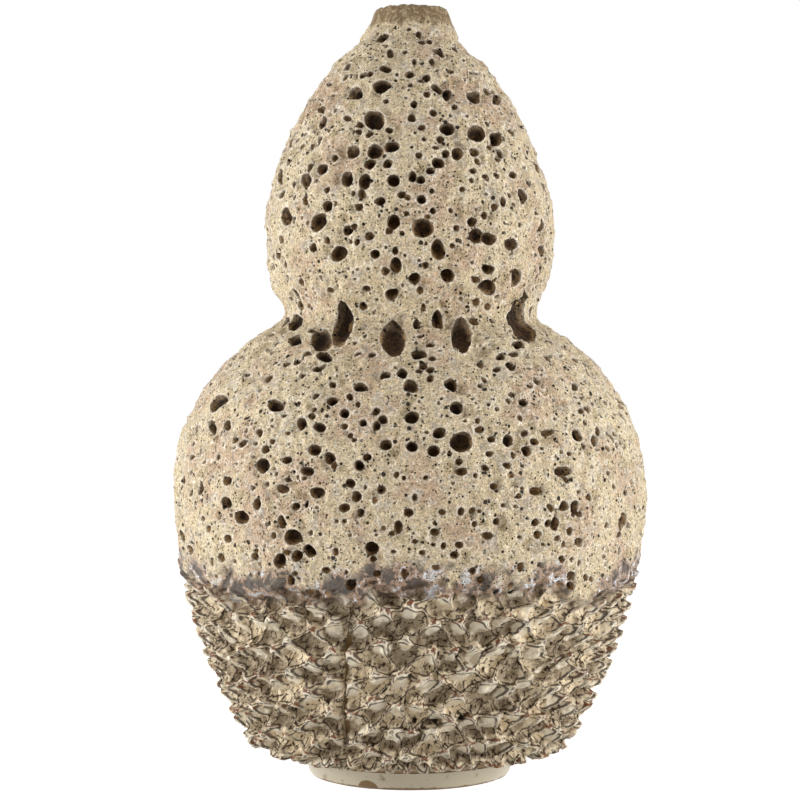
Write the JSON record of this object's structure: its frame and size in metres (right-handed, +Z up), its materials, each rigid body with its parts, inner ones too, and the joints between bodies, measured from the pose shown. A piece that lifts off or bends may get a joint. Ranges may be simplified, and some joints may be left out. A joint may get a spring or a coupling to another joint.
{
  "type": "gourd vase",
  "caption": "Tall double-gourd stoneware vase: foamed crater glaze above, rows of pinched clay points on the lower belly, a small mouth and a turned foot ring.",
  "frame": {"origin": "middle of the foot ring, on the plane the vase stands on", "axes": "+Z up along the turning axis to the mouth; -Y towards the side that the picture shows, +X to that side's right"},
  "size_m": [0.249, 0.249, 0.4],
  "materials": {
    "foot_glaze": "smooth off-white glaze with a wiped, bare ochre-brown stoneware rim at the floor",
    "bare_stoneware": "fired bare stoneware, matt and slightly gritty",
    "lip_glaze": "thin brown-grey glaze that has run off the lip in fine ripples, satin",
    "crater_glaze": "foamed cream crater glaze with burst bubbles and pinholes, dry matt, dark in the craters",
    "spiked_clay": "pinched clay points under a thin creamy glaze that breaks rust-brown on the ridges, satin"
  },
  "bodies": {
    "root": {"foot_ring": "foot_glaze", "lower_bulb": "bare_stoneware", "upper_bulb": "bare_stoneware", "lip_collar": "lip_glaze", "shoulder_crater_glaze": "crater_glaze", "upper_crater_glaze": "crater_glaze", "spiked_strip_01": "spiked_clay", "spiked_strip_02": "spiked_clay", "spiked_strip_03": "spiked_clay", "spiked_strip_04": "spiked_clay", "spiked_strip_05": "spiked_clay", "spiked_strip_06": "spiked_clay", "spiked_strip_07": "spiked_clay", "spiked_strip_08": "spiked_clay", "spiked_strip_09": "spiked_clay", "spiked_strip_10": "spiked_clay", "spiked_strip_11": "spiked_clay", "spiked_strip_12": "spiked_clay", "spiked_strip_13": "spiked_clay", "spiked_strip_14": "spiked_clay", "spiked_strip_15": "spiked_clay", "spiked_strip_16": "spiked_clay", "spiked_strip_17": "spiked_clay", "spiked_strip_18": "spiked_clay", "spiked_strip_19": "spiked_clay", "spiked_strip_20": "spiked_clay", "spiked_strip_21": "spiked_clay", "spiked_strip_22": "spiked_clay", "spiked_strip_23": "spiked_clay", "spiked_strip_24": "spiked_clay", "spiked_strip_25": "spiked_clay", "spiked_strip_26": "spiked_clay", "spiked_strip_27": "spiked_clay", "spiked_strip_28": "spiked_clay", "spiked_strip_29": "spiked_clay", "spiked_strip_30": "spiked_clay"}
  },
  "joints": []
}
